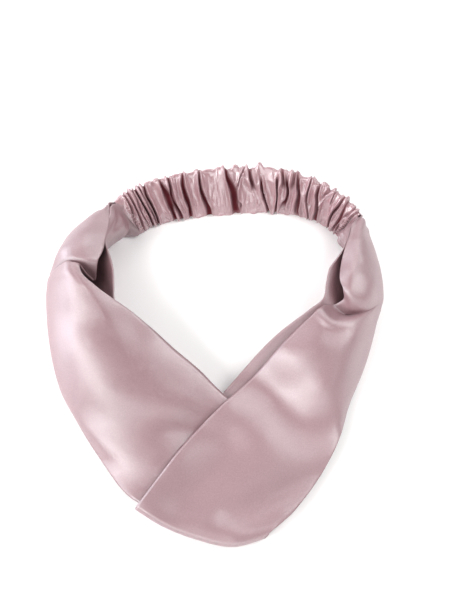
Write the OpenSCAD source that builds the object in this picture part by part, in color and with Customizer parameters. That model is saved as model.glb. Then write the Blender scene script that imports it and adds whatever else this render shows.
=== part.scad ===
// Knotted headband: two wide soft bands folded round each other at the front,
// a ruched elastic strap at the back. It lies on a table, outer faces up.
// Units: mm. X to the right, Y towards the strap, Z up.
// Origin: middle of the footprint, on the table.

/* [Bands] */
// Thickness of one flattened band tube
band_t = 1.4; // [1.0:0.1:1.6]
// Height of the front dome at the notch
dome_h = 8; // [5:0.5:10]
// Height between two neighbouring layers in the knot
layer_pitch = 2.8; // [2.6:0.1:3.2]

/* [Strap] */
// Thickness of the ruched casing, pleats included
casing_t = 9; // [8.8:0.1:9.6]
// Wall of the casing
casing_wall = 1.4; // [1.0:0.1:1.4]
// Width of the elastic
elastic_w = 21; // [16:1:22]
// Thickness of the elastic
elastic_t = 1.3; // [1.0:0.1:1.4]

/* [Threads] */
// Radius of the seam threads
thread_r = 0.25; // [0.2:0.05:0.3]
// Stitches in each row across a join
join_stitch_count = 9; // [5:1:10]

/* [Part choice] */
// Sub-part to build, or all of them

/* [Hidden] */
satin = [0.80, 0.68, 0.71];
satin_dark = [0.70, 0.55, 0.60];
elastic_white = [0.92, 0.91, 0.89];
thread_pink = [0.74, 0.58, 0.63];
notch = [4, -26];
dome_r = 80;
cross_n = 6;
sub_n = 2;
ring_n = 16;
casing_n = 27;
tack_r = elastic_t / 2 + 0.25;
end_gap = elastic_t / 2 + band_t / 2 + 0.3;

// height of layer k (0 = lowest) in the knot at x, y
function zl(k, x, y) = 0.6 + layer_pitch * k
    + dome_h * max(0, 1 - norm([x - notch[0], y - notch[1]]) / dome_r);
function lay(k, x, y) = [x, y, zl(k, x, y)];

// strap: [upper edge, lower edge], left join to right join
strap = [
    [[-58.5, 86, 21.5], [-44.5, 73.5, 1.4]],
    [[-51.5, 91.5, 21], [-40, 77.5, 1]],
    [[-36, 98.5, 20.5], [-31, 81, 0.8]],
    [[-14, 104, 20.5], [-12, 84.5, 0.8]],
    [[8, 106.5, 20.5], [8, 86.5, 0.8]],
    [[29, 106.5, 21], [28, 88, 0.8]],
    [[49, 101, 22.5], [45.5, 86.5, 0.8]],
    [[66, 92.5, 23.5], [59.5, 82, 0.8]],
    [[76, 84.5, 23.5], [67.5, 77.5, 1]],
    [[83, 77, 23.5], [73, 71.5, 1.4]],
];
strap_n = len(strap) - 1;

function unit(v) = v / max(1e-6, norm(v));
// frame of the strap at station q (may be a fraction): middle, half width, face normal
function s_pt(q) = let (i = max(0, min(strap_n - 1, floor(q)))) herm(strap, i, q - i);
function s_mid(q) = (s_pt(q)[0] + s_pt(q)[1]) / 2;
function s_half(q) = (s_pt(q)[0] - s_pt(q)[1]) / 2;
function s_dir(q) = unit(s_mid(q + 0.05) - s_mid(q - 0.05));
function s_nrm(q) = unit(cross(s_dir(q), s_half(q)));
// a band's gathered end at strap station q: width share w, distance d off the middle
function tucked(q, w, d) = [
    s_mid(q) + w * s_half(q) + d * s_nrm(q),
    s_mid(q) + d * s_nrm(q),
    s_mid(q) - w * s_half(q) + d * s_nrm(q)];

// Each station is [inner edge, middle, outer edge].
// left band, outer layer: join to knot
left_outer = [
    tucked(0.7, 0.6, -end_gap),
    tucked(0.25, 0.6, -end_gap),
    tucked(-0.25, 0.6, -end_gap),
    [[-61, 79, 26], [-72, 77, 16], [-61, 70, 3]],
    [[-63, 68, 29], [-84, 69, 18], [-77, 60, 2]],
    [[-65, 57, 33], [-90.5, 54, 20], [-87, 44, 0.6]],
    [[-68, 46, 37], [-93.5, 40, 21], [-91.5, 26, 0.3]],
    [[-67, 36, 39], [-94, 24, 22], [-92, 5, 0.3]],
    [[-50, 19, 34], [-82, -7, 19], [-85, -28, 0.5]],
    [[-23, -3, 24], [-50, -34, 17], [-66, -57, 2]],
];
left_cross_top = [
    [lay(2, 4, -26), lay(2, -18, -56), lay(2, -42, -83)],
    [lay(2, 28, -45), lay(2, 9, -70), lay(2, -10, -93)],
];
// fold line of the left band, wrapped round the right band's lower layer
left_fold = [[49, -63], [35.5, -81], [21, -98]];
left_fold_out = [0.8, -0.6];
left_cross_low = [
    [lay(0, 27, -46), lay(0, 9, -70), lay(0, -9, -91)],
    [lay(0, 2, -29), lay(0, -19, -57), lay(0, -39, -80)],
];
// left band, inner layer: knot to join
left_inner = [
    [[-24, -7, 17], [-44, -37, 9], [-58, -60, 0.5]],
    [[-50, 15, 27], [-70, -8, 12], [-78, -28, 0.3]],
    [[-56, 28, 30], [-77, 16, 14], [-86, 3, 0.3]],
    [[-57.5, 40, 31], [-74, 33, 14], [-82, 22, 0.3]],
    [[-58, 50, 31], [-68, 47, 14], [-73, 38, 1]],
    [[-59.5, 62, 29], [-59, 58, 14], [-61, 52, 2]],
    [[-58.5, 75, 26], [-52.5, 69, 13.5], [-50, 65, 3]],
    tucked(-0.25, 0.6, end_gap),
    tucked(0.25, 0.6, end_gap),
    tucked(0.7, 0.6, end_gap),
];

// right band, outer layer: join to knot
right_outer = [
    tucked(strap_n - 0.7, 0.6, -end_gap),
    tucked(strap_n - 0.25, 0.6, -end_gap),
    tucked(strap_n + 0.25, 0.6, -end_gap),
    [[78, 70, 28], [88.5, 68, 16], [82, 63, 3]],
    [[71, 57, 33], [92, 55, 18], [88, 48, 0.6]],
    [[69, 44, 36], [94, 41, 20], [91.5, 32, 0.3]],
    [[66, 31, 36], [93, 24, 19], [91.5, 13, 0.3]],
    [[58, 18, 33], [85, 3, 17], [88, -8, 0.3]],
    [[42, 4, 27], [66, -17, 17.5], [78, -29, 5]],
];
right_cross_top = [
    [lay(3, 22, -14), lay(3, 44, -37), lay(3, 65, -56)],
    [lay(3, 4, -32), lay(3, 32, -58), lay(3, 55, -74)],
    [lay(3, -14, -51), lay(3, 14, -75), lay(3, 43, -91)],
    [lay(3, -29, -70), lay(3, -3, -89), lay(3, 29, -101)],
];
// fold line of the right band, wrapped round the left band's upper layer
right_fold = [[-42, -87], [-12, -96.5], [17.5, -104.5]];
right_fold_out = [-0.29, -0.957];
right_cross_low = [
    [lay(1, -28, -67), lay(1, -6, -86), lay(1, 18, -98)],
    [lay(1, -13, -47), lay(1, 10, -70), lay(1, 30, -84)],
    [lay(1, 3, -27), lay(1, 26, -52), lay(1, 46, -63.5)],
];
// right band, inner layer: knot to join
right_inner = [
    [[16, -12, 16], [40, -33, 9], [59, -49, 2]],
    [[37, 4, 22.5], [60, -16, 12], [74, -29, 1]],
    [[54, 15, 28.5], [74, 2, 14], [84, -8, 0.6]],
    [[60, 25, 31], [76, 17, 14], [86, 8, 0.6]],
    [[63, 36, 32], [73, 31, 14], [82, 24, 0.6]],
    [[68, 48, 31.5], [69.5, 45, 14], [75, 38, 1]],
    [[75.5, 61, 28.5], [70.5, 58, 14], [71, 53, 2]],
    tucked(strap_n + 0.25, 0.6, end_gap),
    tucked(strap_n - 0.25, 0.6, end_gap),
    tucked(strap_n - 0.7, 0.6, end_gap),
];

function bez(s, t) = let (c = 2 * s[1] - (s[0] + s[2]) / 2)
    (1 - t) * (1 - t) * s[0] + 2 * t * (1 - t) * c + t * t * s[2];
function pts_of(s) = [for (j = [0:cross_n]) bez(s, j / cross_n)];
function fold_st(line, out, k_hi, k_lo) = [for (a = [0, 45, 90, 135, 180])
    [for (p = line) let (
        zh = zl(k_hi, p[0], p[1]),
        zo = zl(k_lo, p[0], p[1]),
        r = (zh - zo) / 2)
        [p[0] + out[0] * r * sin(a), p[1] + out[1] * r * sin(a), (zh + zo) / 2 + r * cos(a)]]];

left_path = concat(left_outer, left_cross_top, fold_st(left_fold, left_fold_out, 2, 0),
                   left_cross_low, left_inner);
right_path = concat(right_outer, right_cross_top, fold_st(right_fold, right_fold_out, 3, 1),
                    right_cross_low, right_inner);

// smooth curve through rows of points, spaced by chord length
function chord(a, b) = let (e = len(a) - 1) max(0.01, norm(a[0] - b[0]) / 2 + norm(a[e] - b[e]) / 2);
function row_tan(p, i) = let (n = len(p) - 1)
    i == 0 ? (p[1] - p[0]) / chord(p[1], p[0]) :
    i == n ? (p[n] - p[n - 1]) / chord(p[n], p[n - 1]) :
    let (d1 = chord(p[i], p[i - 1]), d2 = chord(p[i + 1], p[i]))
    ((p[i] - p[i - 1]) / d1 * d2 + (p[i + 1] - p[i]) / d2 * d1) / (d1 + d2);
function herm(p, i, u) = let (
    d = chord(p[i + 1], p[i]),
    m0 = row_tan(p, i) * d,
    m1 = row_tan(p, i + 1) * d)
    (2 * u * u * u - 3 * u * u + 1) * p[i] + (u * u * u - 2 * u * u + u) * m0
    + (3 * u * u - 2 * u * u * u) * p[i + 1] + (u * u * u - u * u) * m1;
function smooth(p, n) = concat(
    [for (i = [0:len(p) - 2]) for (k = [0:n - 1]) herm(p, i, k / n)],
    [p[len(p) - 1]]);

// grid of points of a path, and its unit normals
function grid(path) = [for (s = smooth(path, sub_n)) pts_of(s)];
function g_normal(g, i, j) = let (
    a = g[min(i + 1, len(g) - 1)][j] - g[max(i - 1, 0)][j],
    b = g[i][min(j + 1, cross_n)] - g[i][max(j - 1, 0)])
    unit(cross(a, b));
function shifted(g, d) = [for (i = [0:len(g) - 1]) [for (j = [0:cross_n]) g[i][j] + d * g_normal(g, i, j)]];

// closed skin over rings of equal length
module rings(r) {
    n = len(r);
    m = len(r[0]);
    polyhedron(
        points = [for (a = r) for (p = a) p],
        faces = concat(
            [for (i = [0:n - 2]) for (j = [0:m - 1]) [i * m + j, (i + 1) * m + j, i * m + (j + 1) % m]],
            [for (i = [0:n - 2]) for (j = [0:m - 1])
                [i * m + (j + 1) % m, (i + 1) * m + j, (i + 1) * m + (j + 1) % m]],
            [for (j = [0:m / 2 - 2]) [j, j + 1, m - 1 - j]],
            [for (j = [0:m / 2 - 2]) [j + 1, m - 2 - j, m - 1 - j]],
            [for (j = [0:m / 2 - 2]) let (o = (n - 1) * m) [o + j + 1, o + j, o + m - 1 - j]],
            [for (j = [0:m / 2 - 2]) let (o = (n - 1) * m) [o + m - 2 - j, o + j + 1, o + m - 1 - j]]));
}

module band(path) {
    g = grid(path);
    hi = shifted(g, band_t / 2);
    lo = shifted(g, -band_t / 2);
    intersection() {
        rings([for (i = [0:len(g) - 1]) concat(hi[i], [for (j = [cross_n:-1:0]) lo[i][j]])]);
        translate([-150, -150, 0]) cube([300, 300, 100]);
    }
}

// section of the casing at station q, r_in taken off its outline
function casing_ring(q, r_in) = let (
    m = s_mid(q),
    h = s_half(q) - r_in * unit(s_half(q)),
    f = (casing_t / 2 - r_in) * s_nrm(q))
    [for (a = [0:ring_n - 1]) let (c = cos(a * 360 / ring_n), s = sin(a * 360 / ring_n))
        m + h * sign(c) * pow(abs(c), 0.6) + f * sign(s) * pow(abs(s), 0.6)];

// hollow tube: outer rings, then inner rings, joined at both mouths
module tube(o, i) {
    n = len(o);
    m = len(o[0]);
    k = n * m;
    polyhedron(
        points = concat([for (a = o) for (p = a) p], [for (a = i) for (p = a) p]),
        faces = concat(
            [for (a = [0:n - 2]) for (j = [0:m - 1]) let (e = (j + 1) % m) [a * m + j, (a + 1) * m + j, a * m + e]],
            [for (a = [0:n - 2]) for (j = [0:m - 1]) let (e = (j + 1) % m)
                [a * m + e, (a + 1) * m + j, (a + 1) * m + e]],
            [for (a = [0:n - 2]) for (j = [0:m - 1]) let (e = (j + 1) % m)
                [k + (a + 1) * m + j, k + a * m + j, k + a * m + e]],
            [for (a = [0:n - 2]) for (j = [0:m - 1]) let (e = (j + 1) % m)
                [k + (a + 1) * m + j, k + a * m + e, k + (a + 1) * m + e]],
            [for (j = [0:m - 1]) let (e = (j + 1) % m) [j, e, k + e]],
            [for (j = [0:m - 1]) let (e = (j + 1) % m) [j, k + e, k + j]],
            [for (j = [0:m - 1]) let (e = (j + 1) % m, b = (n - 1) * m) [b + e, b + j, k + b + j]],
            [for (j = [0:m - 1]) let (e = (j + 1) % m, b = (n - 1) * m) [b + e, k + b + j, k + b + e]]));
}

// thread along a row of points, seen as a thin closed rod
function rod_ring(p, i, r) = let (
    t = unit(p[min(i + 1, len(p) - 1)] - p[max(i - 1, 0)]),
    s = unit(cross(t, abs(t[2]) < 0.8 ? [0, 0, 1] : [1, 0, 0])),
    u = cross(t, s))
    [for (a = [0:5]) p[i] + r * cos(60 * a) * s + r * sin(60 * a) * u];
module rod(p, r) {
    rings([for (i = [0:len(p) - 1]) rod_ring(p, i, r)]);
}

module left_band() {
    color(satin) band(left_path);
}

module right_band() {
    color(satin) band(right_path);
}

// seam on the hidden face, near the outer edge
function seam_line(path, skip, side) = let (g = grid(path), n = len(g))
    [for (i = [skip:n - 1 - skip])
        g[i][cross_n - 1] - (band_t / 2 + thread_r + 0.1) * side * g_normal(g, i, cross_n - 1)];

module left_band_seam_thread() {
    color(thread_pink) rod(seam_line(left_path, 4, -1), thread_r);
}

module right_band_seam_thread() {
    color(thread_pink) rod(seam_line(right_path, 4, 1), thread_r);
}

module elastic_casing() {
    q = [for (k = [0:casing_n]) k * strap_n / casing_n];
    color(satin_dark) intersection() {
        tube([for (a = q) casing_ring(a, 0)], [for (a = q) casing_ring(a, casing_wall)]);
        translate([-150, -150, 0]) cube([300, 300, 100]);
    }
}

// seam on the outer face of the casing
module casing_seam_thread() {
    q = [for (k = [1:casing_n - 1]) k * strap_n / casing_n];
    color(thread_pink) rod([for (a = q) s_mid(a) - (casing_t / 2 + thread_r + 0.1) * s_nrm(a)], thread_r);
}

module elastic_strip() {
    q = [for (k = [0:casing_n]) 0.35 + k * (strap_n - 0.7) / casing_n];
    color(elastic_white) rings([for (a = q) let (
        m = s_mid(a),
        h = unit(s_half(a)) * elastic_w / 2,
        f = s_nrm(a) * elastic_t / 2)
        [m + h + f, m + f, m - h + f, m - h - f, m - f, m + h - f]]);
}

// short stitches side by side across the inner face of the strap at station q
module stitch_row(q) {
    for (k = [0:join_stitch_count - 1]) {
        w = 0.62 * (2 * k / (join_stitch_count - 1) - 1);
        p = s_mid(q) + w * s_half(q) + (casing_t / 2 + thread_r + 0.35) * s_nrm(q);
        rod([p - 1.1 * s_dir(q), p, p + 1.1 * s_dir(q)], thread_r);
    }
}

module left_join_stitches() {
    color(thread_pink) stitch_row(0.25);
}

module right_join_stitches() {
    color(thread_pink) stitch_row(strap_n - 0.25);
}

// bars of thread across the elastic, sewn through it
module bar_tack(q) {
    for (k = [-1:1]) {
        a = q + 0.07 * k;
        rod([s_mid(a) + 7 * unit(s_half(a)), s_mid(a), s_mid(a) - 7 * unit(s_half(a))], tack_r);
    }
}

module left_elastic_tack() {
    color(thread_pink) bar_tack(1.3);
}

module right_elastic_tack() {
    color(thread_pink) bar_tack(strap_n - 1.3);
}

left_band();
right_band();
elastic_casing();
elastic_strip();
left_band_seam_thread();
right_band_seam_thread();
casing_seam_thread();
left_join_stitches();
right_join_stitches();
left_elastic_tack();
right_elastic_tack();
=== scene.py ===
"""Knotted satin headband: two soft bands folded round each other, and a ruched elastic strap behind."""
import math

import bpy
import numpy as np
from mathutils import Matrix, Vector, noise


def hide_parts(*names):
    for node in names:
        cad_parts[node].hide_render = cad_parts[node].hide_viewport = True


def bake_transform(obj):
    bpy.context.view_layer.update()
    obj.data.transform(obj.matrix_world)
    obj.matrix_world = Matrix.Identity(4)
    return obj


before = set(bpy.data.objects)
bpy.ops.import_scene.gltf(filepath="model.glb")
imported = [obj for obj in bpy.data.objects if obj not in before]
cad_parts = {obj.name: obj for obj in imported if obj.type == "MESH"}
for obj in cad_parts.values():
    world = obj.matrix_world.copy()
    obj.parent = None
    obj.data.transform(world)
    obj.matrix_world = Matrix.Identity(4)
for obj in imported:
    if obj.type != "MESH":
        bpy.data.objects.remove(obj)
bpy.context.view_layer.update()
scene = bpy.context.scene
MM = 0.001


# ---------------------------------------------------------------- camera
def look_at(obj, target):
    """Turns a camera or lamp so that it faces target."""
    obj.rotation_euler = (Vector(target) - obj.location).to_track_quat("-Z", "Y").to_euler()


CAM_TARGET = Vector((0.0055, 0.030, 0.010))
CAM_ELEVATION = math.radians(72)
CAM_DISTANCE = 0.81
camera = bpy.data.objects.new("camera", bpy.data.cameras.new("camera"))
scene.collection.objects.link(camera)
camera.data.lens = 85
camera.data.sensor_width = 36
camera.data.clip_start = 0.01
camera.location = CAM_TARGET + CAM_DISTANCE * Vector((0, -math.cos(CAM_ELEVATION), math.sin(CAM_ELEVATION)))
look_at(camera, CAM_TARGET)
scene.camera = camera
scene.view_settings.view_transform = "Standard"


# ---------------------------------------------------------------- curve helpers
def unit(v):
    """The same vectors with length 1."""
    return v / np.maximum(np.linalg.norm(v, axis=-1, keepdims=True), 1e-9)


def hermite(rows, per_span, chord=None):
    """Smooth curve through rows[i] (each an array of points), spaced by chord length."""
    p = np.asarray(rows, float)
    flat = p.reshape(len(p), -1, 3)
    if chord is None:
        chord = np.maximum(0.01, np.linalg.norm(np.diff(flat, axis=0), axis=2).mean(1))
    d = chord[:, None, None]
    slope = np.diff(flat, axis=0) / d
    tan = np.empty_like(flat)
    tan[0], tan[-1] = slope[0], slope[-1]
    tan[1:-1] = (slope[:-1] * d[1:] + slope[1:] * d[:-1]) / (d[:-1] + d[1:])
    out = []
    for i in range(len(flat) - 1):
        n = per_span if np.isscalar(per_span) else per_span[i]
        for u in np.arange(n) / n:
            h = (2 * u**3 - 3 * u**2 + 1, u**3 - 2 * u**2 + u, 3 * u**2 - 2 * u**3, u**3 - u**2)
            out.append(h[0] * flat[i] + h[1] * d[i] * tan[i] + h[2] * flat[i + 1] + h[3] * d[i] * tan[i + 1])
    out.append(flat[-1])
    return np.array(out).reshape((-1,) + p.shape[1:])


def across(grid, n):
    """Refines each row of a (rows, points, 3) grid to n + 1 points by a smooth curve."""
    cols = np.swapaxes(grid, 0, 1)
    d = np.ones(len(cols) - 1)
    fine = hermite(cols, n // (len(cols) - 1), d)
    return np.swapaxes(fine, 0, 1)


def normals(grid):
    """Unit normal at each point of a (rows, points, 3) grid."""
    return unit(np.cross(np.gradient(grid, axis=0), np.gradient(grid, axis=1)))


def mesh_object(name, verts, faces):
    """A smooth-shaded mesh in the scene, from points in metres."""
    mesh = bpy.data.meshes.new(name)
    mesh.from_pydata([tuple(v) for v in verts], [], [tuple(int(i) for i in f) for f in faces])
    mesh.update()
    for poly in mesh.polygons:
        poly.use_smooth = True
    obj = bpy.data.objects.new(name, mesh)
    scene.collection.objects.link(obj)
    return obj


def ring_faces(count, around, first):
    """Faces of a closed skin over equal rings; strips across the ring close its two ends."""
    idx = first + np.arange(count * around).reshape(count, around)
    a, b = idx[:-1], idx[1:]
    quads = np.stack([a, b, np.roll(b, -1, 1), np.roll(a, -1, 1)], -1).reshape(-1, 4)
    faces = [list(q) for q in quads]
    for end, flip in ((0, False), (count - 1, True)):
        for j in range(around // 2 - 1):
            q = [idx[end, j], idx[end, j + 1], idx[end, around - 2 - j], idx[end, around - 1 - j]]
            faces.append(q[::-1] if flip else q)
    return faces


def ring_mesh(name, *skins):
    """One mesh of closed skins, each given as equal rings of points (mm)."""
    verts, faces = [], []
    for rings in skins:
        faces += ring_faces(*rings.shape[:2], len(verts))
        verts.extend(rings.reshape(-1, 3) * MM)
    obj = mesh_object(name, verts, faces)
    obj.data.validate()
    return obj


# ---------------------------------------------------------------- knot and strap frames (mm)
NOTCH = np.array([4.0, -26.0])
# The knot: rise and radius of its dome, height from one layer of cloth to the next, height of the lowest.
DOME_H, DOME_R, PITCH, LOWEST_LAYER = 8.0, 80.0, 2.8, 0.6


def knot_z(layer, x, y):
    """Height of a layer of the knot, counted from the table."""
    away = math.hypot(x - NOTCH[0], y - NOTCH[1]) / DOME_R
    return LOWEST_LAYER + PITCH * layer + DOME_H * max(0.0, 1 - away)


def in_knot(layer, *xy):
    """A row of points that lie in one layer of the knot."""
    return [[x, y, knot_z(layer, x, y)] for x, y in xy]


# Upper and lower edge of the strap, from its left end to its right end.
STRAP = [
    [[-58.5, 86, 21.5], [-44.5, 73.5, 1.4]],
    [[-51.5, 91.5, 21], [-40, 77.5, 1]],
    [[-36, 98.5, 20.5], [-31, 81, 0.8]],
    [[-14, 104, 20.5], [-12, 84.5, 0.8]],
    [[8, 106.5, 20.5], [8, 86.5, 0.8]],
    [[29, 106.5, 21], [28, 88, 0.8]],
    [[49, 101, 22.5], [45.5, 86.5, 0.8]],
    [[66, 92.5, 23.5], [59.5, 82, 0.8]],
    [[76, 84.5, 23.5], [67.5, 77.5, 1]],
    [[83, 77, 23.5], [73, 71.5, 1.4]],
]
STRAP_N = len(STRAP) - 1
STRAP_STEPS = 100
STRAP_FINE = hermite(STRAP, STRAP_STEPS)
# Length along the middle of the strap (mm), from its left end.
STRAP_RUN = np.concatenate([[0], np.cumsum(np.linalg.norm(np.diff(STRAP_FINE.mean(1), axis=0), axis=1))])
STRAP_LENGTH = STRAP_RUN[-1]


def strap_edges(q):
    """Upper and lower edge at station q; straight on beyond the two ends."""
    q = np.atleast_1d(np.asarray(q, float))
    inside = np.clip(q, 0, STRAP_N)
    t = inside * STRAP_STEPS
    i = np.minimum(t.astype(int), STRAP_N * STRAP_STEPS - 1)
    u = (t - i)[:, None, None]
    p = (1 - u) * STRAP_FINE[i] + u * STRAP_FINE[i + 1]
    step = STRAP_FINE[i + 1] - STRAP_FINE[i]
    return p + step * ((q - inside) * STRAP_STEPS)[:, None, None]


def strap_frame(q):
    """Middle, half width vector and face normal (towards the head) at station q."""
    e = strap_edges(q)
    mid, half = e.mean(1), (e[:, 0] - e[:, 1]) / 2
    ahead, back = strap_edges(np.asarray(q) + 0.05).mean(1), strap_edges(np.asarray(q) - 0.05).mean(1)
    along = unit(ahead - back)
    return mid, half, unit(np.cross(along, half))


def tucked(q, share, off):
    """A band's row inside the strap's end: share of the strap's width, off to one side of its middle."""
    mid, half, nrm = strap_frame(q)
    return [list((mid + w * share * half + off * nrm)[0]) for w in (1, 0.5, 0, -0.5, -1)]


# Distance (mm) of a band's outer and inner layer from the middle of the strap's end.
END_GAP = 1.65

# Each row runs from the inner (upper) edge of a band to its outer (lower) edge.
LEFT_OUTER = [
    tucked(0.7, 0.6, -END_GAP),
    tucked(0.3, 0.7, -END_GAP),
    tucked(-0.04, 0.93, -END_GAP),
    [[-60.5, 80, 24.2], [-66, 80, 23], [-70.5, 77, 17.5], [-69.5, 74, 9], [-61.5, 69.5, 3]],
    [[-60.2, 69, 28.6], [-71, 70, 28.8], [-79.5, 69.5, 22], [-80.5, 65.5, 10], [-75, 59.5, 2]],
    [[-61.6, 58, 33.3], [-75, 60, 34.5], [-85.2, 60, 26], [-88.7, 54, 12], [-84.5, 45, 0.8]],
    [[-63.2, 50, 35], [-75, 50.5, 37], [-86.5, 51, 31.5], [-92.3, 46, 17], [-89, 35, 0.6]],
    [[-65.5, 44.5, 35.2], [-73.5, 44.5, 36.5], [-84, 46, 33], [-93.8, 42.5, 17.5], [-90.5, 30, 0.6]],
    [[-66.5, 40, 30.5], [-73.5, 41, 31.5], [-83.5, 43, 30], [-94.3, 40, 17.2], [-91.2, 27, 0.6]],
    [[-67.5, 36.5, 26], [-74, 38.5, 27], [-83, 41.5, 28.5], [-94.4, 38.7, 17], [-91.4, 25, 0.6]],
    [[-71, 38, 30.5], [-76, 40, 32], [-83.5, 42.2, 31.5], [-94.7, 38.2, 17.3], [-91.6, 24, 0.6]],
    [[-75.2, 41.5, 38.6], [-79, 42.6, 38.2], [-84.5, 43.2, 35.2], [-95, 38, 18], [-91.8, 23, 0.6]],
    [[-73.6, 36, 40], [-78.5, 37.5, 39.5], [-84.5, 38.5, 36.2], [-95.1, 35.5, 18], [-91.9, 21, 0.6]],
    [[-66, 29, 39], [-74, 31, 40], [-82.5, 33, 36.5], [-95.3, 31.5, 17.8], [-91.9, 18, 0.6]],
    [[-57, 23, 35.8], [-69, 23.5, 38.3], [-82, 25.5, 35], [-95, 24, 17], [-91.8, 12, 0.6]],
    [[-47, 16.5, 33.5], [-62, 12, 35], [-79, 12, 31.5], [-93.4, 10, 15], [-91.4, 1, 0.6]],
    [[-36, 8, 30], [-54, -3, 30], [-74, -9, 26], [-88, -12.5, 13], [-88.8, -17.5, 0.6]],
    [[-23, -3, 25], [-39, -20, 24], [-58, -34, 19], [-73.8, -40, 9], [-78.4, -37.8, 0.8]],
    [[-9, -14, 20.5], [-22, -31, 19], [-37.5, -46.5, 15], [-55.5, -58, 8], [-64.8, -59.3, 1.2]],
]
LEFT_CROSS_TOP = [
    in_knot(2, (4, -26), (-7, -41), (-18.5, -56.5), (-32, -71.5), (-46, -83.5)),
    in_knot(2, (28, -45), (18.5, -57.5), (9, -70), (-0.5, -81.5), (-10, -93)),
]
LEFT_FOLD = [(49, -63), (42.2, -72), (35.5, -81), (28.2, -89.5), (21, -98)]
LEFT_FOLD_OUT = ((0.8, -0.6),) * 5
LEFT_CROSS_LOW = [
    in_knot(0, (27, -46), (18, -58), (9, -70), (0, -80.5), (-9, -91)),
    in_knot(0, (2, -29), (-8.5, -43), (-19, -57), (-29, -68.5), (-39, -80)),
]
LEFT_INNER = [
    [[-24, -7, 18], [-36, -22, 16], [-47, -37, 11], [-55, -47, 5], [-60, -52, 0.8]],
    [[-50, 14, 27], [-60, 5, 27], [-72, -2, 21], [-82, -10, 10], [-84, -18, 0.8]],
    [[-56, 24, 30], [-62.5, 20, 26], [-75, 16, 18], [-86, 12, 8], [-88, 4, 0.8]],
    [[-56.5, 33, 31], [-62, 31, 25], [-72, 28, 15], [-81, 24, 7], [-84, 18, 0.8]],
    [[-57.3, 42, 31], [-62.5, 41, 24], [-70, 39, 15], [-77, 36, 7], [-80, 32, 0.8]],
    [[-59, 49, 31], [-63.5, 48.5, 26], [-69.5, 47, 18], [-74, 44.5, 8], [-77, 40, 1]],
    [[-62, 57, 32.3], [-62.5, 56, 26], [-65.5, 54.5, 17.5], [-70.5, 52.5, 8], [-76, 49.5, 1.2]],
    [[-61.6, 66, 29.2], [-59, 64.5, 23], [-59.5, 63, 14], [-65, 62.5, 6], [-73, 62, 1.5]],
    [[-60.4, 75.5, 26.4], [-55, 72.8, 20], [-52, 70.5, 12.5], [-57, 70.5, 5], [-66.5, 71, 1.8]],
    tucked(-0.04, 0.93, END_GAP),
    tucked(0.3, 0.7, END_GAP),
    tucked(0.7, 0.6, END_GAP),
]

RIGHT_OUTER = [
    tucked(STRAP_N - 0.7, 0.6, -END_GAP),
    tucked(STRAP_N - 0.3, 0.7, -END_GAP),
    tucked(STRAP_N + 0.04, 0.93, -END_GAP),
    [[78.4, 71, 27], [84.5, 73, 24.5], [86.2, 71, 17], [83.5, 68, 9], [78, 66, 3]],
    [[75.9, 62, 29.8], [83, 64.5, 29.5], [87.6, 65, 21], [87.8, 61, 10], [83.5, 56, 2]],
    [[72.5, 52, 32.3], [81.5, 55, 34.5], [89.5, 54, 26], [93, 49, 12], [88.5, 42, 0.8]],
    [[70, 41, 34.5], [79.5, 43, 38.5], [89.8, 43, 30], [94.8, 40, 15], [90.5, 32, 0.6]],
    [[69.3, 33, 36.5], [77, 31.5, 38.8], [88.5, 32.5, 32.5], [95, 33, 16.5], [90.8, 25, 0.6]],
    [[71, 27, 36.8], [76.5, 22.5, 36.5], [86.5, 24, 31.5], [94.8, 28.5, 16.5], [90.6, 20, 0.6]],
    [[71.3, 23.5, 32], [76, 18.5, 30.5], [85.5, 20.5, 28.3], [94.3, 27, 16], [90.5, 17.5, 0.6]],
    [[66.5, 21.5, 28.3], [73.5, 16.5, 24.6], [84.5, 18.3, 26.3], [93.9, 25.8, 15.8], [90.3, 15.5, 0.6]],
    [[61.5, 20.5, 30.3], [70, 13.8, 28.8], [83.5, 16.3, 27.6], [93.4, 24.2, 16], [90, 13, 0.6]],
    [[57.8, 18, 32.8], [66, 10.3, 33.5], [81, 12.5, 30], [92, 21, 16.3], [88.6, 10, 0.6]],
    [[52.5, 13, 32], [62.5, 4.5, 32.5], [77.5, 4, 30.3], [88.4, 7, 15.5], [85.8, 2, 0.6]],
    [[45.5, 7, 29.5], [58.5, -3.5, 32], [73, -8, 29], [83.7, -7, 14], [83.2, -10, 0.8]],
    [[36, -2.5, 26.5], [49.5, -14, 28], [63, -23, 25], [73.6, -28.5, 13.5], [75.6, -29, 2.5]],
]
RIGHT_CROSS_TOP = [
    in_knot(3, (21, -17), (34, -30), (48, -42), (61.5, -49.5), (68, -53)),
    in_knot(3, (4, -33), (18, -47), (32, -59.5), (47, -69), (57.6, -72)),
    in_knot(3, (-14, -51), (0, -64), (15, -76), (31, -86), (45, -89)),
    in_knot(3, (-29, -70), (-17, -82), (-2, -92), (17, -99.5), (37.5, -96.5)),
]
RIGHT_FOLD = [(-42, -87), (-27, -96), (-9, -103), (11, -107.3), (29, -103.5)]
RIGHT_FOLD_OUT = ((-0.6, -0.8), (-0.6, -0.8), (-0.56, -0.83), (-0.6, -0.8), (-0.72, -0.6))
RIGHT_CROSS_LOW = [
    in_knot(1, (-28, -67), (-17, -78), (-6, -86), (7, -92.5), (23, -94.5)),
    in_knot(1, (-13, -47), (-1, -59), (10, -70), (20, -78), (30, -84)),
    in_knot(1, (3, -27), (15, -41), (26, -52), (36, -59), (46, -63.5)),
]
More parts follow.
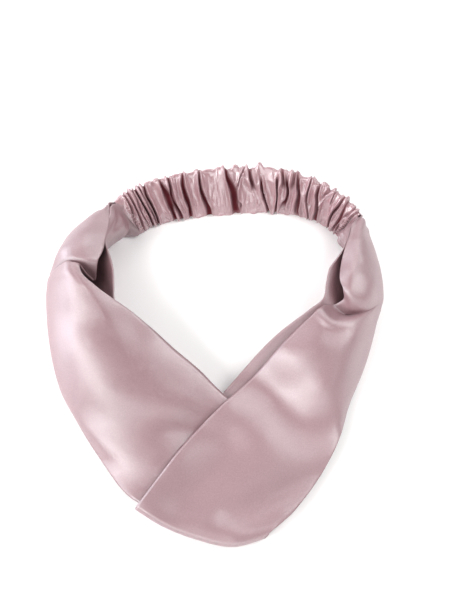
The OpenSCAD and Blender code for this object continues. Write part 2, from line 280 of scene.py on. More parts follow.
RIGHT_INNER = [
    [[15, -13, 12.5], [27, -24, 10.5], [39, -34, 8], [49, -42, 5], [58, -47, 2]],
    [[34.5, 6, 21.5], [47, -5, 19], [59, -15, 13.5], [67.5, -21.5, 7], [71.5, -26, 1.5]],
    [[52.5, 18.5, 28.3], [63, 10, 24], [73.5, 2.5, 17], [80.5, -3, 8], [80.5, -8, 0.8]],
    [[60, 24, 31], [67, 19.5, 26], [75.5, 14.5, 18], [82, 9.5, 8], [82.5, 5, 0.8]],
    [[62, 33, 32], [67.5, 31, 28], [74.5, 27.5, 21.5], [81, 24, 10], [83, 19, 0.8]],
    [[64.2, 42, 32], [69, 41, 28], [75, 39, 21], [80, 37, 10], [81, 34, 1]],
    [[68, 47.5, 31], [71, 47, 26.5], [75.5, 46, 19], [79, 45, 9], [80, 42, 1.5]],
    [[71.5, 52.5, 30], [73, 53, 25], [76, 52.5, 17.5], [79, 51, 8], [81, 49, 1.3]],
    [[75.2, 61, 28], [74.5, 61.5, 22], [75.2, 61, 14.5], [77.5, 60, 7], [81, 59, 1.8]],
    [[78, 70, 26], [75, 69.5, 20], [73, 69, 14.5], [72, 68, 9], [72, 66.5, 4]],
    tucked(STRAP_N + 0.04, 0.93, END_GAP),
    tucked(STRAP_N - 0.3, 0.7, END_GAP),
    tucked(STRAP_N - 0.7, 0.6, END_GAP),
]


def fold_rows(line, out, high, low):
    """A band turning back on itself round the fold line, from layer high down to layer low."""
    rows = []
    for a in np.radians([0, 30, 60, 90, 120, 150, 180]):
        row = []
        for (x, y), side in zip(line, out):
            top, bottom = knot_z(high, x, y), knot_z(low, x, y)
            r = (top - bottom) / 2
            out_x, out_y = side[0] * r * math.sin(a), side[1] * r * math.sin(a)
            row.append([x + out_x, y + out_y, (top + bottom) / 2 + r * math.cos(a)])
        rows.append(row)
    return rows


ACROSS = 48
PER_SPAN, PER_FOLD_SPAN = 8, 3


def band_grid(outer, cross_top, fold, cross_low, inner):
    """Middle surface of a band, from its outer layer through the knot to its inner layer."""
    rows = np.array(outer + cross_top + fold + cross_low + inner, float)
    first = len(outer) + len(cross_top)
    spans = [PER_SPAN] * (len(rows) - 1)
    for i in range(first, first + len(fold) - 1):
        spans[i] = PER_FOLD_SPAN
    return across(hermite(rows, spans), ACROSS)


# Half the thickness of the flattened tube (mm), in its middle and at its folded edges,
# and the share of the width over which it thins.
TUBE_HALF, EDGE_HALF, EDGE_SHARE = 0.55, 0.28, 0.06
TABLE_GAP = 0.05


def band_solid(name, grid):
    """The flattened tube: two plies that meet in a crisp fold at each edge."""
    v = np.linspace(0, 1, grid.shape[1])
    thin = np.minimum(1, np.minimum(v, 1 - v) / EDGE_SHARE) ** 0.5
    half = (EDGE_HALF + (TUBE_HALF - EDGE_HALF) * thin)[None, :, None]
    nrm = normals(grid)
    rings = np.concatenate([grid + nrm * half, (grid - nrm * half)[:, ::-1]], 1)
    rings[..., 2] = np.maximum(rings[..., 2], TABLE_GAP)
    return ring_mesh(name, rings)


# Soft folds lying across both bands: line (mm), half width, height.
SOFT_FOLDS = [
    ((24, -8), (86, 8), 9, 0.8),
    ((36, -24), (86, -8), 7, -1.2),
    ((32, -52), (66, -44), 20, 1.5),
    ((6, -60), (-18, -86), 13, -1.8),
    ((10, -92), (62, -70), 7, -1.6),
    ((70, 45), (94, 41), 5, -1.0),
    ((68, 60), (90, 58), 6, 0.9),
    ((14, -106), (36, -94), 7, 0.8),
    ((-36, -92), (8, -102), 7, 0.6),
    ((-84, 16), (-46, 8), 9, -1.0),
    ((-84, -2), (-40, -14), 12, 0.8),
    ((-60, -28), (-14, -34), 10, 0.7),
    ((-66, -36), (4, -50), 9, -1.5),
    ((-66, -60), (-24, -66), 11, 1.2),
    ((-34, -2), (2, -30), 8, 0.5),
]


FOLD_FULL_HEIGHT = 9  # height above the table (mm) from which a fold shows in full


def soft_folds(grid):
    """Lifts and lowers every layer alike, fading out near the table."""
    x, y = grid[..., 0], grid[..., 1]
    h = np.zeros_like(x)
    for (x0, y0), (x1, y1), half_width, height in SOFT_FOLDS:
        run = math.hypot(x1 - x0, y1 - y0)
        ux, uy = (x1 - x0) / run, (y1 - y0) / run
        t = (x - x0) * ux + (y - y0) * uy
        d = -(x - x0) * uy + (y - y0) * ux + 0.12 * half_width * np.sin(t / 9)
        past = np.maximum(0, np.maximum(-t, t - run))
        h += height * np.exp(-((d / half_width) ** 2) - (past / (1.2 * half_width)) ** 2)
    out = grid.copy()
    out[..., 2] += h * np.clip(grid[..., 2] / FOLD_FULL_HEIGHT, 0, 1)
    return out


# Gathers at the strap joins: length hidden in the join, length over which they rise, where they are
# highest, how far they spread (mm along the band), height (mm), and number across the band.
GATHER_HIDDEN, GATHER_RISE, GATHER_PEAK, GATHER_SPREAD = 9, 5, 12, 13
GATHER_HEIGHT, GATHER_COUNT = 0.75, 4.2


def gathers(grid, phase):
    """Small pleats that run out of the strap joins and die away over the shoulders."""
    step = np.linalg.norm(np.diff(grid, axis=0), axis=2).mean(1)
    s = np.concatenate([[0], np.cumsum(step)])
    v = np.linspace(0, 1, grid.shape[1])[None]
    calm = np.minimum(1, np.minimum(v, 1 - v) / 0.08)
    out = grid.copy()
    nrm = normals(grid)
    for run, turn in ((s, 0.0), (s[-1] - s, 1.3)):
        start = np.clip((run - GATHER_HIDDEN) / GATHER_RISE, 0, 1)[:, None]
        fade = start * np.exp(-(((run - GATHER_PEAK) / GATHER_SPREAD) ** 2))[:, None]
        wave = np.sin(2 * math.pi * (GATHER_COUNT * v + 0.25 * np.sin(5 * v + phase)) + phase + turn)
        out += nrm * (GATHER_HEIGHT * fade * wave * calm)[..., None]
    return out


left_grid = band_grid(
    LEFT_OUTER, LEFT_CROSS_TOP, fold_rows(LEFT_FOLD, LEFT_FOLD_OUT, 2, 0), LEFT_CROSS_LOW, LEFT_INNER
)
right_grid = band_grid(
    RIGHT_OUTER, RIGHT_CROSS_TOP, fold_rows(RIGHT_FOLD, RIGHT_FOLD_OUT, 3, 1), RIGHT_CROSS_LOW, RIGHT_INNER
)
left_grid = gathers(soft_folds(left_grid), 0.4)
right_grid = gathers(soft_folds(right_grid), 2.2)
left_band = band_solid("left_band_satin", left_grid)
right_band = band_solid("right_band_satin", right_grid)


THREAD_R = 0.25
# A band's seam: place across the band (0 to 1), rows left free at each end, rows per step, lift (mm).
SEAM_SHARE, SEAM_FREE, SEAM_STEP, SEAM_LIFT = 0.93, 24, 3, 0.9


def rod_rings(path, nrm, r):
    """Round section swept along a row of points."""
    wide = unit(np.cross(np.gradient(path, axis=0), nrm))
    a = np.radians(np.arange(0, 360, 45))[None, :, None]
    return path[:, None] + r * (np.cos(a) * wide[:, None] + np.sin(a) * nrm[:, None])


def seam_thread(name, grid, side):
    """Thread of the seam that runs along the hidden face, near the outer edge."""
    col = round(SEAM_SHARE * (grid.shape[1] - 1))
    rows = slice(SEAM_FREE, -SEAM_FREE, SEAM_STEP)
    nrm = side * normals(grid)[rows, col]
    return ring_mesh(name, rod_rings(grid[rows, col] + SEAM_LIFT * nrm, nrm, THREAD_R))


left_seam = seam_thread("left_band_seam", left_grid, 1)
right_seam = seam_thread("right_band_seam", right_grid, -1)

# ---------------------------------------------------------------- ruched casing
# Pockets between pleats: place along the strap (mm) at the upper edge, middle and lower part,
# half widths there (mm), depth (mm), lowest and highest reach across the strap (-1 to 1).
POCKETS = [
    ((6.0, 4.0, 1.4), (0.40, 0.45, 0.45), 2.6, (-1.3, 1.3)),
    ((8.0, 6.9, 5.2), (0.40, 0.45, 0.45), 2.8, (-1.3, 1.3)),
    ((10.0, 9.5, 8.8), (0.25, 0.30, 0.30), 1.4, (-1.3, 1.3)),
    ((11.7, 12.0, 12.3), (0.40, 0.50, 0.55), 3.2, (-1.3, 1.3)),
    ((13.6, 14.5, 15.2), (0.25, 0.30, 0.35), 1.6, (-1.3, 1.3)),
    ((15.9, 16.0, 17.0), (0.45, 0.55, 0.60), 3.4, (-1.3, 1.3)),
    ((20.3, 19.6, 19.0), (0.70, 0.60, 0.50), 1.6, (0.65, 1.3)),
    ((24.0, 26.3, 28.0), (0.60, 2.10, 1.50), 3.6, (-1.3, 1.2)),
    ((28.4, 29.6, 31.7), (0.55, 0.75, 0.90), 3.4, (-1.3, 1.3)),
    ((36.6, 36.9, 38.4), (0.40, 1.40, 1.20), 3.6, (-1.3, 1.25)),
    ((45.9, 46.5, 49.0), (0.40, 1.00, 1.60), 3.6, (-1.3, 1.2)),
    ((61.3, 64.0, 66.0), (1.10, 2.10, 2.20), 3.6, (-1.2, 1.25)),
    ((71.5, 67.4, 69.0), (0.35, 0.40, 0.45), 1.5, (-1.3, 1.3)),
    ((74.7, 76.5, 79.5), (1.10, 1.60, 0.80), 3.0, (0.0, 1.25)),
    ((80.0, 82.0, 84.6), (0.40, 0.80, 0.90), 3.6, (-1.3, 0.75)),
    ((91.0, 91.5, 91.5), (0.40, 0.60, 0.60), 3.4, (-1.3, 0.9)),
    ((92.6, 95.2, 96.0), (1.00, 1.10, 0.50), 2.8, (0.25, 1.25)),
    ((96.0, 97.3, 96.7), (0.40, 1.10, 1.50), 3.4, (-0.8, 0.95)),
    ((99.3, 99.5, 99.8), (0.60, 0.80, 0.50), 2.4, (0.35, 1.3)),
    ((101.6, 104.0, 105.0), (0.70, 1.60, 1.60), 3.2, (-1.2, 1.15)),
    ((108.4, 109.2, 111.5), (0.35, 0.50, 0.60), 2.8, (-1.3, 1.25)),
    ((113.9, 115.5, 117.6), (0.50, 0.80, 1.20), 3.4, (-1.3, 1.2)),
    ((119.6, 117.2, 116.0), (0.40, 0.40, 0.40), 1.8, (0.45, 1.3)),
    ((123.4, 123.0, 123.6), (0.35, 0.35, 0.40), 1.5, (0.3, 1.3)),
    ((127.1, 127.6, 128.6), (0.40, 0.60, 0.70), 3.2, (-1.3, 1.25)),
    ((131.0, 132.7, 133.4), (0.60, 1.10, 1.10), 3.4, (-1.2, 1.2)),
    ((134.6, 135.2, 135.6), (0.30, 0.35, 0.35), 1.6, (-1.3, 1.3)),
    ((138.9, 137.8, 137.8), (0.40, 0.55, 0.55), 2.4, (-1.3, 1.3)),
]
# Thin ribs standing on the pleats: place as above, half width, height, reach.
RIBS = [
    ((27.0, 28.6, 30.2), 0.40, 0.7, (-1.0, 1.2)),
    ((32.0, 31.6, 33.4), 0.50, 0.5, (-1.2, 1.3)),
    ((58.6, 58.0, 59.0), 1.60, 0.5, (-1.2, 1.3)),
    ((60.0, 61.2, 62.8), 0.40, 0.5, (-1.2, 1.3)),
    ((69.0, 74.6, 79.0), 0.50, 0.8, (-0.9, 1.2)),
    ((87.0, 88.5, 87.5), 0.80, 0.4, (-0.6, 1.0)),
    ((92.2, 92.6, 92.9), 0.45, 0.8, (-1.2, 1.3)),
    ((97.5, 98.2, 98.6), 0.45, 0.8, (-1.2, 1.3)),
    ((99.8, 101.3, 101.8), 0.50, 0.9, (-1.0, 1.3)),
    ((111.0, 112.6, 113.5), 0.50, 0.5, (-0.6, 1.0)),
    ((121.5, 118.3, 117.0), 0.50, 0.9, (-0.2, 1.3)),
    ((125.2, 125.2, 126.0), 0.45, 0.6, (-0.8, 1.3)),
    ((129.2, 129.8, 130.6), 0.45, 0.7, (-1.2, 1.3)),
    ((135.9, 136.6, 136.8), 0.40, 0.6, (-1.2, 1.3)),
]
# Loops of cloth that stand out beyond the upper edge: place, half width, height (mm).
CURLS = [
    (3.5, 1.2, 0.5), (9.0, 1.2, 0.7), (14.0, 1.2, 0.9), (19.0, 1.8, 0.9), (22.5, 1.8, 1.1),
    (28.0, 1.2, 0.9), (33.0, 2.2, 0.7), (37.2, 1.3, 1.5), (45.2, 1.7, 1.5), (51.0, 2.2, 0.6),
    (57.5, 1.9, 1.4), (60.2, 1.2, 1.2), (66.3, 1.7, 1.9), (71.8, 1.8, 1.4), (80.2, 1.6, 3.0),
    (86.0, 2.4, 0.8), (92.2, 1.3, 2.0), (94.4, 1.1, 1.2), (98.0, 1.5, 1.6), (101.2, 1.5, 2.7),
    (109.3, 2.0, 2.1), (116.5, 1.8, 2.0), (122.5, 1.6, 1.4), (128.5, 1.9, 2.0), (134.0, 1.3, 1.1),
    (138.0, 1.2, 1.2),
]
CASING_HALF = 3.6  # half thickness (mm)
CASING_ALONG, CASING_AROUND = 760, 72
SQUARED = 0.75  # power that fills out the section's corners
NEXT_PLEAT = 9  # greatest distance (mm) to a pleat that still shapes the cloth
CURL_SIZE = 1.15
HIGHEST, EDGE_DROP = 1.7, 1.0  # highest rise (mm), and how much lower it is at the edges
CLOTH_HALF = 12  # half width of the casing's cloth coordinates (mm)
CASING_TABLE_GAP = 0.1


def lean_line(places, w):
    """Place along the strap at w, through the values given for w = 1, 0.3 and -0.4."""
    up, mid, low = places
    x = (w - 0.3) / 0.7
    return mid + (up - low) / 2 * x + (up + low - 2 * mid) / 2 * np.minimum(x * x, 1.5)


def reach_across(W, low, high):
    """1 between two places across the strap, fading to 0 at them."""
    return np.clip((W - low) / 0.3, 0, 1) * np.clip((high - W) / 0.3, 0, 1)


def bell(x):
    return np.exp(-(x**2))


def pocket_relief(S, W, sway):
    """Pockets, the pleats that stand beside them and the shallow dishes between pleats.

    Returns the rise of the cloth, its shift along the strap, how deep each point lies in a pocket,
    and a wave that is 0 at the pleats and 1 between them.
    """
    rise, shift, pits = np.zeros_like(S), np.zeros_like(S), np.zeros_like(S)
    left, right = np.full_like(S, NEXT_PLEAT), np.full_like(S, NEXT_PLEAT)
    for k, (places, widths, depth, (low, high)) in enumerate(POCKETS):
        width = np.clip(lean_line(widths, W), 0.22, None)
        reach = reach_across(W, low, high)
        bow = 0.5 * math.sin(2.1 * k + 0.7) * (1 + S / 70) * np.sin(3.6 * W + k)
        x = (S + sway - lean_line(places, W) - 0.5 * bow) / width
        pit = reach / (1 + np.abs(x) ** 3.4)
        pits = np.maximum(pits, pit * depth / CASING_HALF)
        rise += -depth * pit
        rise += reach * min(1.3, 0.38 * depth) * bell((np.abs(x) - 1 - 0.75 / width) / (0.7 / width))
        lean = np.minimum(0.6, 0.4 * width)
        shift += -reach * np.sign(x) * lean * bell((np.abs(x) - 1 - 0.6 / width) / (0.8 / width))
        away = np.clip(np.abs(x) * width - width + (1 - reach) * NEXT_PLEAT, 0, NEXT_PLEAT)
        left = np.where(x >= 0, np.minimum(left, away), left)
        right = np.where(x < 0, np.minimum(right, away), right)
    facet = left + right
    puff = np.sin(math.pi * (left / np.maximum(facet, 1e-3)))
    rise += -(np.minimum(1.5, 0.22 * facet) * puff**2) * (1 - pits)
    return rise, shift, pits, puff


def crumple_at(S, W, F):
    """Uneven crinkles, different on the two faces."""
    face = np.where(F < 0, 5, 0)
    values = [
        noise.noise((s * 0.42, w * 2.1, 3.0)) + 0.25 * noise.noise((s * 0.8, w * 2.6, 7.0))
        for s, w in zip(S.ravel(), (W + face).ravel())
    ]
    return np.array(values).reshape(S.shape)


def edge_flare(S, W, pits, puff):
    """How far the cloth stands out past the two edges of the strap."""
    flare = np.abs(W) ** 5 * (0.9 * puff * (1 - pits) - 0.5 * pits)
    for place, half_width, height in CURLS:
        x = (S + 1.2 * (1 - W) - place) / (CURL_SIZE * half_width)
        loop = CURL_SIZE * height * np.exp(-(np.abs(x) ** 3))
        flare += np.clip((W - 0.45) / 0.5, 0, 1) ** 2 * loop
        flare += 0.25 * np.clip((-W - 0.6) / 0.4, 0, 1) ** 2 * loop
    return flare


def casing_grid():
    """Points of the ruched casing (mm), their cloth coordinates and how deep they lie in a pocket.

    S is the place along the strap (mm), W across it (-1 to 1, upper edge 1), F through it (-1 to 1).
    """
    a = np.arange(CASING_AROUND) * 2 * math.pi / CASING_AROUND
    S = np.repeat(np.linspace(0, STRAP_LENGTH, CASING_ALONG)[:, None], CASING_AROUND, 1)
    section = [np.sign(c) * np.abs(c) ** SQUARED for c in (np.cos(a), np.sin(a))]
    W, F = [np.repeat(c[None], CASING_ALONG, 0) for c in section]
    from_end = np.minimum(S, STRAP_LENGTH - S)
    sway = 0.35 * np.sin(0.9 * S + 2.6 * W) * (0.4 + 0.6 * np.clip((S - 65) / 30, 0, 1))
    sway += np.where(F < 0, 1.2 * np.sin(0.31 * S) * (1 - W * W), 0)
    rise, shift, pits, puff = pocket_relief(S, W, sway)
    for places, half_width, height, (low, high) in RIBS:
        reach = reach_across(W, low, high)
        x = (S + sway - lean_line(places, W)) / half_width
        rise += height * reach * bell(x)
        shift += 0.35 * reach * x * bell(x) * half_width
    rise += 0.06 * np.sin(2.3 * S + 1.5 * np.sin(2.1 * W + 0.13 * S)) * (1 - pits)
    rise += 0.8 * bell((W + 0.45) / 0.28) * puff * (1 - pits)
    crumple = crumple_at(S, W, F)
    middle = np.clip(from_end / 18, 0.25, 1)
    rise += 0.6 * crumple * (1 - pits) * middle
    shift += 0.35 * crumple * middle
    ease = np.clip(from_end / 3.0, 0, 1)
    rise = rise * (0.45 + 0.55 * ease)
    # At its ends the casing stays thick enough to hold the bands' ends, and elsewhere the elastic.
    thinnest = np.where((S < 11) | (S > STRAP_LENGTH - 11), 2.5, 0.95)
    highest = HIGHEST - EDGE_DROP * np.clip((np.abs(W) - 0.7) / 0.3, 0, 1)
    rise = np.clip(rise, -np.maximum(0, CASING_HALF * np.abs(F) - thinnest), highest)
    q = np.interp(np.clip(S + shift, 0, STRAP_LENGTH), STRAP_RUN, np.arange(len(STRAP_RUN)) / STRAP_STEPS)
    mid, half, nrm = [v.reshape(CASING_ALONG, CASING_AROUND, 3) for v in strap_frame(q.ravel())]
    side = half / np.linalg.norm(half, axis=-1, keepdims=True)
    sewn = 0.74 + 0.26 * np.clip(from_end / 5, 0, 1)
    pos = mid + half * (W * 0.97)[..., None] + nrm * (CASING_HALF * sewn * F)[..., None]
    out = unit(side * (W * 0.6)[..., None] + nrm * F[..., None])
    flare = edge_flare(S, W, pits, puff)
    pos = pos + out * rise[..., None] + side * (np.sign(W) * flare * ease)[..., None]
    pos[..., 2] = np.maximum(pos[..., 2], CASING_TABLE_GAP)
    return pos, S, W * CLOTH_HALF, pits


def casing_solid(name, grid):
    """Closed skin over the casing's rings, which start at the upper edge."""
    n, m = grid.shape[:2]
    idx = np.arange(n * m).reshape(n, m)
    a, b = idx[:-1], idx[1:]
    faces = [list(q) for q in np.stack([a, np.roll(a, -1, 1), np.roll(b, -1, 1), b], -1).reshape(-1, 4)]
    half = m // 2
    for end, flip in ((0, False), (n - 1, True)):
        for j in range(half):
            q = [idx[end, j], idx[end, (j + 1)], idx[end, (m - 1 - j) % m], idx[end, (m - j) % m]]
            q = list(dict.fromkeys(int(i) for i in q))
            if len(q) > 2:
                faces.append(q[::-1] if flip else q)
    return mesh_object(name, grid.reshape(-1, 3) * MM, faces)


casing_pos, casing_u, casing_v, casing_pit = casing_grid()
casing = casing_solid("ruched_casing_satin", casing_pos)

# ---------------------------------------------------------------- what the casing holds
ELASTIC_HALF, ELASTIC_END = 10.5, 0.35  # half width (mm), first and last station from the strap's ends
ELASTIC_ALONG, ELASTIC_ACROSS, ELASTIC_RIBS = 161, 61, 15
# Bar tacks: radius and half length of a bar (mm), points along it, stations from bar to bar and from the end.
TACK_R, TACK_HALF, TACK_POINTS, TACK_STEP, TACK_END = 0.9, 7.0, 15, 0.07, 1.3


def elastic_strip():
    """Flat woven elastic with fine ribs along its length."""
    mid, half, nrm = strap_frame(np.linspace(ELASTIC_END, STRAP_N - ELASTIC_END, ELASTIC_ALONG))
    w = np.linspace(-1, 1, ELASTIC_ACROSS)
    thick = 0.6 + 0.09 * np.sin(w * ELASTIC_RIBS * math.pi) ** 2 - 0.25 * np.abs(w) ** 12
    flat = mid[:, None] + ELASTIC_HALF * w[None, :, None] * unit(half)[:, None]
    lift = thick[None, :, None] * nrm[:, None]
    return ring_mesh("elastic_strip_woven", np.concatenate([flat + lift, (flat - lift)[:, ::-1]], 1))


def bar_tack(name, q):
    """Three bars of thread across the elastic, sewn through it."""
    w = np.linspace(-TACK_HALF, TACK_HALF, TACK_POINTS)[:, None]
    bars = []
    for k in (-1, 0, 1):
        mid, half, nrm = strap_frame(q + TACK_STEP * k)
        bars.append(rod_rings(mid + w * unit(half), np.repeat(nrm, TACK_POINTS, 0), TACK_R))
    return ring_mesh(name, *bars)


elastic = elastic_strip()
left_tack = bar_tack("left_tack_bars", TACK_END)
right_tack = bar_tack("right_tack_bars", STRAP_N - TACK_END)
# The casing's seam runs along the middle of its outer face.
outer_col, inner_col = CASING_AROUND * 3 // 4, CASING_AROUND // 4
seam_rows = slice(12, -12, 2)
seam_path = casing_pos[seam_rows, outer_col]
seam_out = unit(seam_path - casing_pos[seam_rows, inner_col])
casing_seam = ring_mesh("casing_seam", rod_rings(seam_path + 0.12 * seam_out, seam_out, THREAD_R))


def cloth_coords(obj, u, v, depth):
    """Cloth coordinates in mm for the weave, and the painted shade at each point, set by how deep it lies in
    a fold.
    """
    uv = obj.data.uv_layers.new(name="cloth")
    vert = np.empty(len(obj.data.loops), int)
    obj.data.loops.foreach_get("vertex_index", vert)
    flat = np.stack([u.ravel()[vert], v.ravel()[vert]], -1)
    uv.data.foreach_set("uv", (flat * 0.1).ravel())
    attr = obj.data.attributes.new("painted_crease_shade", "FLOAT", "POINT")
    attr.data.foreach_set("value", depth.ravel())


BAND_WIDTH = 80  # of the cloth coordinates (mm)


def band_coords(obj, grid, inside_first):
    """Cloth coordinates of a band, and painted shade on the ply that faces inwards, darker further below the
    band's inner edge.
    """
    step = np.linalg.norm(np.diff(grid, axis=0), axis=2).mean(1)
    along = np.concatenate([[0], np.cumsum(step)])
    n, m = grid.shape[:2]
    v = np.concatenate([np.linspace(0, BAND_WIDTH, m), np.linspace(BAND_WIDTH, 0, m)])
    depth = np.zeros((n, 2 * m))
    shade = 0.06 + 0.4 * np.clip((grid[:, :1, 2] - grid[..., 2]) / 18, 0, 1)
    if inside_first:
        depth[:, :m] = shade
    else:
        depth[:, m:] = shade[:, ::-1]
    cloth_coords(obj, np.repeat(along[:, None], 2 * m, 1), np.repeat(v[None], n, 0), depth)


band_coords(left_band, left_grid, True)
band_coords(right_band, right_grid, False)
# How deep each point lies in a pocket sets the casing's painted shade.
cloth_coords(casing, casing_u, casing_v, casing_pit)


# ---------------------------------------------------------------- materials
def set_inputs(node, values):
    """Fixed values of a shader node's inputs."""
    for key, value in values.items():
        node.inputs[key].default_value = value


def new_material(name, values):
    """A node material, its tree and its Principled shader with the values given."""
    mat = bpy.data.materials.new(name)
    mat.use_nodes = True
    bsdf = mat.node_tree.nodes["Principled BSDF"]
    set_inputs(bsdf, values)
    return mat, mat.node_tree, bsdf


def add_node(tree, kind, values=None, **settings):
    """A new shader node, with its settings and the fixed values of its inputs."""
    node = tree.nodes.new(kind)
    for key, value in settings.items():
        setattr(node, key, value)
    set_inputs(node, values or {})
    return node


def tint(base, *shares):
    """A colour with each channel scaled by its own share."""
    return (*(c * share for c, share in zip(base, shares)), 1)


def add_bump(tree, bsdf, height, strength, distance):
    """Fine relief of the surface, from the height given."""
    bump = add_node(tree, "ShaderNodeBump", {"Strength": strength, "Distance": distance})
    tree.links.new(height, bump.inputs["Height"])
    tree.links.new(bump.outputs["Normal"], bsdf.inputs["Normal"])


def satin_material(name, base, deep, rough):
    """Satin: dim rose ground, strong pale sheen stretched across the threads, fine weave, and painted shade
    in creases.
    """
    look = {
        "IOR": 2.5,
        "Specular IOR Level": 0.5,
        "Anisotropic": 0.55,
        "Sheen Weight": 0.12,
        "Sheen Roughness": 0.45,
        "Sheen Tint": (0.95, 0.9, 1.0, 1),
    }
    mat, tree, bsdf = new_material(name, look)
    link = tree.links.new
    tangent = add_node(tree, "ShaderNodeTangent", direction_type="UV_MAP", uv_map="cloth")
    link(tangent.outputs["Tangent"], bsdf.inputs["Tangent"])

    # Weave: noise drawn out along the threads.
    uv = add_node(tree, "ShaderNodeUVMap", uv_map="cloth")
    weave = add_node(tree, "ShaderNodeMapping", {"Scale": (2.5, 80, 1)})
    threads = add_node(tree, "ShaderNodeTexNoise", {"Scale": 1.0, "Detail": 2.0})
    link(uv.outputs["UV"], weave.inputs["Vector"])
    link(weave.outputs["Vector"], threads.inputs["Vector"])
    add_bump(tree, bsdf, threads.outputs["Fac"], 0.3, 0.00025)

    # Ground tone: broad clouds and a fine grain.
    place = add_node(tree, "ShaderNodeTexCoord")
    cloud = add_node(tree, "ShaderNodeTexNoise", {"Scale": 22, "Detail": 3.0})
    grain = add_node(tree, "ShaderNodeTexNoise", {"Scale": 1500, "Detail": 1.0})
    both = add_node(tree, "ShaderNodeMix", {"Factor": 0.55}, data_type="FLOAT")
    tone = add_node(tree, "ShaderNodeValToRGB")
    dark, light = tone.color_ramp.elements
    dark.position, dark.color = 0.35, tint(base, 0.84, 0.80, 0.82)
    light.position, light.color = 0.68, tint(base, 1.16, 1.2, 1.2)
    link(place.outputs["Object"], cloud.inputs["Vector"])
    link(place.outputs["Object"], grain.inputs["Vector"])
    link(cloud.outputs["Fac"], both.inputs["A"])
    link(grain.outputs["Fac"], both.inputs["B"])
    link(both.outputs["Result"], tone.inputs["Fac"])

    # Painted shade in creases and pockets: the mask darkens the base colour towards the deep colour and tints
    # the sheen dark red. The cloth is also duller there.
    painted_crease_shade = add_node(tree, "ShaderNodeAttribute", attribute_name="painted_crease_shade")
    power = add_node(tree, "ShaderNodeMath", {1: 0.9}, operation="POWER")
    mix = add_node(tree, "ShaderNodeMix", data_type="RGBA")
    dull = add_node(tree, "ShaderNodeMapRange", {"To Min": rough, "To Max": 0.9})
    shine = add_node(tree, "ShaderNodeMix", data_type="RGBA")
    set_inputs(mix, {"B": (*deep, 1)})
    set_inputs(shine, {"A": (0.90, 0.965, 0.985, 1), "B": (0.30, 0.07, 0.09, 1)})
    link(painted_crease_shade.outputs["Fac"], power.inputs[0])
    link(power.outputs["Value"], mix.inputs["Factor"])
    link(power.outputs["Value"], dull.inputs["Value"])
    link(power.outputs["Value"], shine.inputs["Factor"])
    link(tone.outputs["Color"], mix.inputs["A"])
    link(mix.outputs["Result"], bsdf.inputs["Base Color"])
    link(dull.outputs["Result"], bsdf.inputs["Roughness"])
    link(shine.outputs["Result"], bsdf.inputs["Specular Tint"])
    return mat


# Dark red of the painted shade in creases and pockets.
PAINTED_CREASE_SHADE_RED = (0.07, 0.010, 0.014)
satin = satin_material("satin_rose", (0.262, 0.136, 0.150), PAINTED_CREASE_SHADE_RED, 0.37)
# The casing is the same satin as the bands. Its base colour is painted lighter, a painted lit copy of the
# satin, and it is glossier.
gathered_satin_painted_lighter = satin_material("satin_rose_gathered_painted_lighter", (0.36, 0.192, 0.208), PAINTED_CREASE_SHADE_RED, 0.25)
left_band.data.materials.append(satin)
right_band.data.materials.append(satin)
casing.data.materials.append(gathered_satin_painted_lighter)


def thread_material(name, base, pitch, rough=0.5):
    """Twisted thread: fine slanting turns, slight sheen, and painted shade in the grooves between turns."""
    mat, tree, bsdf = new_material(name, {"Roughness": rough, "Sheen Weight": 0.4})
    link = tree.links.new
    place = add_node(tree, "ShaderNodeTexCoord")
    twist = add_node(tree, "ShaderNodeTexWave", {"Scale": pitch, "Distortion": 1.5},
                     wave_type="BANDS", bands_direction="DIAGONAL")
    tone = add_node(tree, "ShaderNodeValToRGB")
    # Painted shade: the colour is darker where the turns' bump is low, in the grooves.
    dark, light = tone.color_ramp.elements
    dark.color, light.color = tint(base, 0.7, 0.62, 0.64), (*base, 1)
    link(place.outputs["Object"], twist.inputs["Vector"])
    link(twist.outputs["Fac"], tone.inputs["Fac"])
    link(tone.outputs["Color"], bsdf.inputs["Base Color"])
    add_bump(tree, bsdf, twist.outputs["Fac"], 0.5, 0.0002)
    return mat


thread = thread_material("rose_thread", (0.42, 0.26, 0.28), 500)
for obj in (left_seam, right_seam, casing_seam, left_tack, right_tack):
    obj.data.materials.append(thread)
for name in ("left_join_stitches", "right_join_stitches"):
    for material_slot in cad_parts[name].material_slots:
        material_slot.material = thread
# Woven elastic is off-white and matt, with coarser turns.
elastic.data.materials.append(thread_material("woven_elastic", (0.78, 0.74, 0.72), 260, rough=0.75))

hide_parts("left_band")
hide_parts("right_band")
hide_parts("elastic_casing")
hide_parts("left_band_seam_thread")
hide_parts("right_band_seam_thread")
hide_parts("elastic_strip")
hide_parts("casing_seam_thread")
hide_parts("left_elastic_tack")
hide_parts("right_elastic_tack")
for obj in (left_band, left_seam):
    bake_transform(obj)
for obj in (right_band, right_seam):
    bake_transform(obj)
for obj in (casing, elastic, casing_seam, left_tack, right_tack):
    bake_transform(obj)

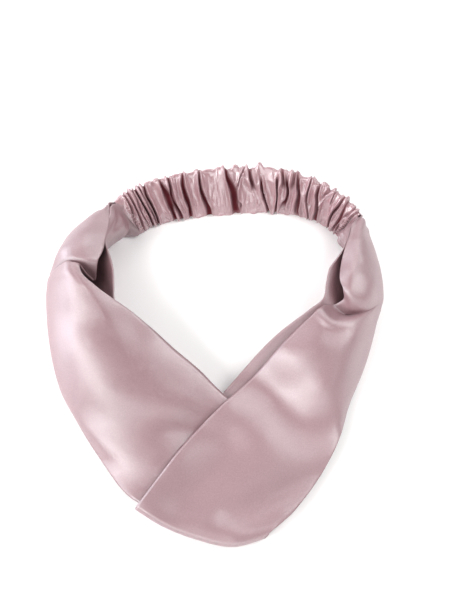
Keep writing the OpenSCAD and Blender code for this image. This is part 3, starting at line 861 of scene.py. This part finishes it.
# ---------------------------------------------------------------- floor and light
bpy.ops.mesh.primitive_plane_add(size=6, location=(0, 0, 0))
floor = bpy.context.object
floor.name = "floor"
floor_mat = new_material("floor_white", {"Base Color": (0.99, 0.99, 0.99, 1), "Roughness": 0.9})[0]
floor.data.materials.append(floor_mat)


LIT = (0, 0, 0.01)  # the point that every lamp faces


def soft_box(name, place, size, power, colour):
    """A rectangular lamp that faces the object."""
    lamp = bpy.data.objects.new(name, bpy.data.lights.new(name, "AREA"))
    lamp.data.shape = "RECTANGLE"
    lamp.data.size, lamp.data.size_y = size
    lamp.data.energy = power
    lamp.data.color = colour
    lamp.location = place
    look_at(lamp, LIT)
    scene.collection.objects.link(lamp)


soft_box("box_warm", (-0.8, -0.45, 0.85), (0.9, 0.6), 11, (1.0, 0.98, 0.965))
soft_box("box_rim", (-1.05, 0.25, 0.25), (1.1, 0.4), 9, (0.92, 0.93, 1.0))
soft_box("box_right", (0.65, 0.15, 0.95), (0.7, 0.6), 7.5, (1.0, 0.985, 0.98))
soft_box("box_front", (0.0, -1.1, 0.5), (1.0, 0.4), 5, (1.0, 0.99, 0.98))
soft_box("box_back", (-0.1, 1.0, 0.85), (1.5, 0.45), 8, (1.0, 0.985, 0.985))
SKY_LOW, SKY_HIGH = 0.62, 0.12  # strength at the horizon and overhead


def studio_sky():
    """White surroundings that grow dimmer with height."""
    world = bpy.data.worlds.new("studio")
    world.use_nodes = True
    tree = world.node_tree
    link = tree.links.new
    place = add_node(tree, "ShaderNodeTexCoord")
    split = add_node(tree, "ShaderNodeSeparateXYZ")
    fade = add_node(tree, "ShaderNodeMapRange",
                    {"From Min": 0.35, "From Max": 1.0, "To Min": SKY_LOW, "To Max": SKY_HIGH},
                    interpolation_type="SMOOTHSTEP")
    background = tree.nodes["Background"]
    set_inputs(background, {"Color": (1, 1, 1, 1)})
    link(place.outputs["Generated"], split.inputs["Vector"])
    link(split.outputs["Z"], fade.inputs["Value"])
    link(fade.outputs["Result"], background.inputs["Strength"])
    return world


scene.world = studio_sky()
